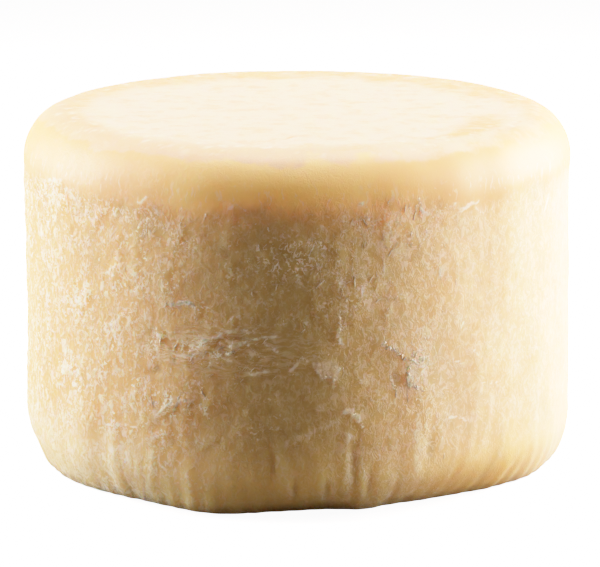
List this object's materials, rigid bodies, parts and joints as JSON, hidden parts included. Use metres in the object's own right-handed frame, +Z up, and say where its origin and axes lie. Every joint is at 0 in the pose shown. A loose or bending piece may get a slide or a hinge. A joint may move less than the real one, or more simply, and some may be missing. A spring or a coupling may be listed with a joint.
{
  "type": "cheese wheel",
  "caption": "Whole drum of pale ivory sour-milk cheese with a smooth rounded shoulder, rough flaky sides and a ribbed, lobed foot; it stands on its flat underside.",
  "frame": {"origin": "on the underside, below the middle of the drum's box", "axes": "+Z up along the drum's axis, the pictured front facing -Y, +X to its right"},
  "size_m": [0.1514, 0.1514, 0.0969],
  "materials": {
    "rind": "pale ivory cheese with a waxy golden shoulder and dry whitish flakes"
  },
  "bodies": {
    "root": {"cheese_wheel": "rind"}
  },
  "joints": []
}
